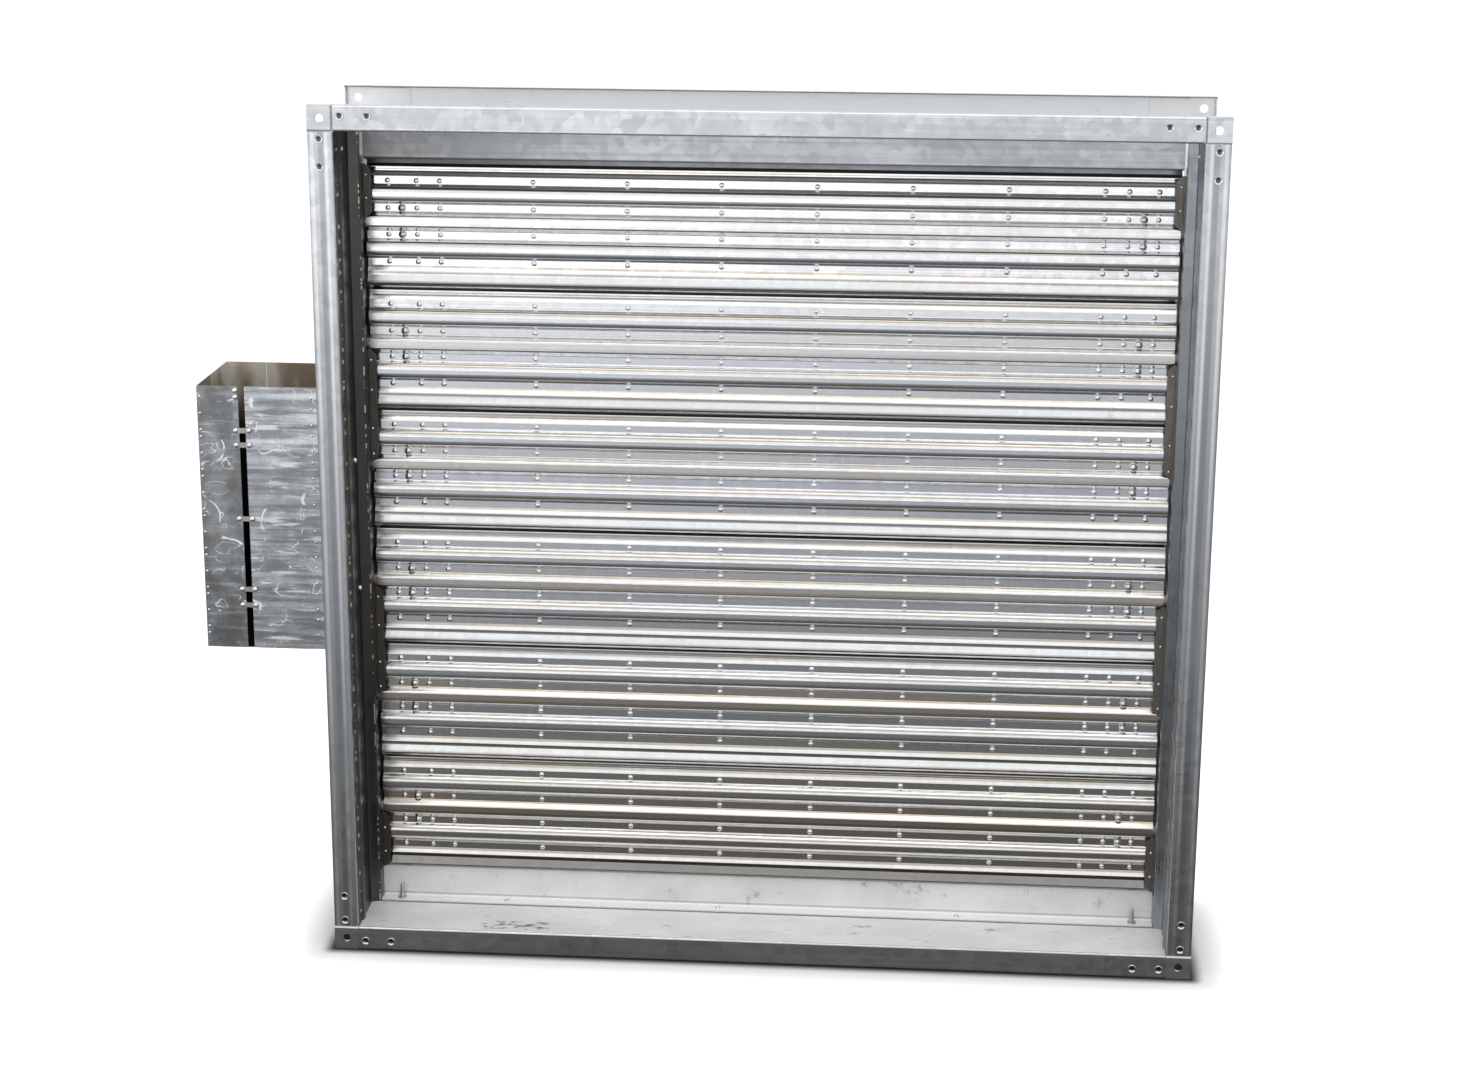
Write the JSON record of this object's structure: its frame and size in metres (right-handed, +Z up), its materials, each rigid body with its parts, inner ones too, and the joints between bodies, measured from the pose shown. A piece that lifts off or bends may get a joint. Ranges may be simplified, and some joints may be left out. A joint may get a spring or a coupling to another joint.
{
  "type": "motorized volume control damper",
  "caption": "Flanged galvanised duct damper: opposed folded blades linked in one recess and turned by an actuator in an open side box, to set the air flow.",
  "frame": {"origin": "centre of the front flange's bolt holes, on the flange face", "axes": "+X to the right seen from the front, +Y through the duct away from the front, +Z up"},
  "size_m": [1.215, 0.22, 1.05],
  "materials": {
    "galvanised_frame": "zinc-coated sheet, satin",
    "galvanised_stop": "zinc-coated sheet, satin",
    "galvanised_box": "zinc-coated sheet with spangle",
    "blade_sheet": "bright zinc-coated sheet",
    "seal_strip": "dark brown strip",
    "bush_metal": "turned, dull",
    "shaft_steel": "bright bar",
    "plated_steel": "zinc plated",
    "actuator_body": "moulded, fine grain",
    "actuator_cover": "moulded, fine grain",
    "gland_plastic": "moulded",
    "button_plastic": "moulded"
  },
  "bodies": {
    "frame": {"frame_top": "galvanised_frame", "frame_bottom": "galvanised_frame", "frame_left": "galvanised_frame", "frame_right": "galvanised_frame", "corner_front_top_left": "galvanised_frame", "corner_front_top_right": "galvanised_frame", "corner_front_bottom_left": "galvanised_frame", "corner_front_bottom_right": "galvanised_frame", "corner_rear_top_left": "galvanised_frame", "corner_rear_top_right": "galvanised_frame", "corner_rear_bottom_left": "galvanised_frame", "corner_rear_bottom_right": "galvanised_frame", "stop_top": "galvanised_stop", "stop_bottom": "galvanised_stop", "jamb_seals_left_front": "seal_strip", "jamb_seals_left_rear": "seal_strip", "jamb_seals_right_front": "seal_strip", "jamb_seals_right_rear": "seal_strip", "bushes_left": "bush_metal", "bushes_right": "bush_metal", "box_base": "galvanised_box", "box_cover": "galvanised_box", "box_straps": "galvanised_box", "actuator_housing": "actuator_body", "actuator_lid": "actuator_cover", "torque_strap": "plated_steel", "cable_gland": "gland_plastic"},
    "blade_1": {"blade_1_front_skin": "blade_sheet", "blade_1_rear_skin": "blade_sheet", "blade_1_shafts": "shaft_steel", "crank_arm_1": "plated_steel"},
    "blade_2": {"blade_2_front_skin": "blade_sheet", "blade_2_rear_skin": "blade_sheet", "blade_2_shafts": "shaft_steel", "crank_arm_2": "plated_steel"},
    "blade_3": {"blade_3_front_skin": "blade_sheet", "blade_3_rear_skin": "blade_sheet", "blade_3_shafts": "shaft_steel", "crank_arm_3": "plated_steel", "actuator_clamp": "plated_steel", "clamp_bolt": "plated_steel"},
    "blade_4": {"blade_4_front_skin": "blade_sheet", "blade_4_rear_skin": "blade_sheet", "blade_4_shafts": "shaft_steel", "crank_arm_4": "plated_steel"},
    "blade_5": {"blade_5_front_skin": "blade_sheet", "blade_5_rear_skin": "blade_sheet", "blade_5_shafts": "shaft_steel", "crank_arm_5": "plated_steel"},
    "blade_6": {"blade_6_front_skin": "blade_sheet", "blade_6_rear_skin": "blade_sheet", "blade_6_shafts": "shaft_steel", "crank_arm_6": "plated_steel"},
    "odd_bar": {"tie_bar_odd": "plated_steel", "coupling_plate": "plated_steel"},
    "even_bar": {"tie_bar_even": "plated_steel"},
    "button": {"release_button": "button_plastic"}
  },
  "joints": [
    {"name": "blade_1_turn", "type": "hinge", "parent": "frame", "child": "blade_1", "pos_m": [0, 0.11, 0.375], "axis": [-1, 0, 0], "range_deg": [0, 90]},
    {"name": "blade_2_turn", "type": "hinge", "parent": "frame", "child": "blade_2", "pos_m": [0, 0.11, 0.225], "axis": [1, 0, 0], "range_deg": [0, 90]},
    {"name": "blade_3_turn", "type": "hinge", "parent": "frame", "child": "blade_3", "pos_m": [0, 0.11, 0.075], "axis": [-1, 0, 0], "range_deg": [0, 90]},
    {"name": "blade_4_turn", "type": "hinge", "parent": "frame", "child": "blade_4", "pos_m": [0, 0.11, -0.075], "axis": [1, 0, 0], "range_deg": [0, 90]},
    {"name": "blade_5_turn", "type": "hinge", "parent": "frame", "child": "blade_5", "pos_m": [0, 0.11, -0.225], "axis": [-1, 0, 0], "range_deg": [0, 90]},
    {"name": "blade_6_turn", "type": "hinge", "parent": "frame", "child": "blade_6", "pos_m": [0, 0.11, -0.375], "axis": [1, 0, 0], "range_deg": [0, 90]},
    {"name": "odd_bar_swing", "type": "hinge", "parent": "blade_3", "child": "odd_bar", "pos_m": [0.51, 0.08172, 0.04672], "axis": [-1, 0, 0], "range_deg": [-90, 0]},
    {"name": "even_bar_swing", "type": "hinge", "parent": "blade_4", "child": "even_bar", "pos_m": [0.51, 0.13828, -0.10328], "axis": [1, 0, 0], "range_deg": [-90, 0]},
    {"name": "button_press", "type": "slide", "parent": "frame", "child": "button", "axis": [1, 0, 0], "range_m": [0, 0.003], "stiffness_N_per_m": 500}
  ],
  "couplings": [
    {"joint": "blade_1_turn", "follows": "blade_3_turn", "ratio": 1},
    {"joint": "blade_2_turn", "follows": "blade_3_turn", "ratio": 1},
    {"joint": "blade_4_turn", "follows": "blade_3_turn", "ratio": 1},
    {"joint": "blade_5_turn", "follows": "blade_3_turn", "ratio": 1},
    {"joint": "blade_6_turn", "follows": "blade_3_turn", "ratio": 1},
    {"joint": "odd_bar_swing", "follows": "blade_3_turn", "ratio": -1},
    {"joint": "even_bar_swing", "follows": "blade_3_turn", "ratio": -1}
  ]
}
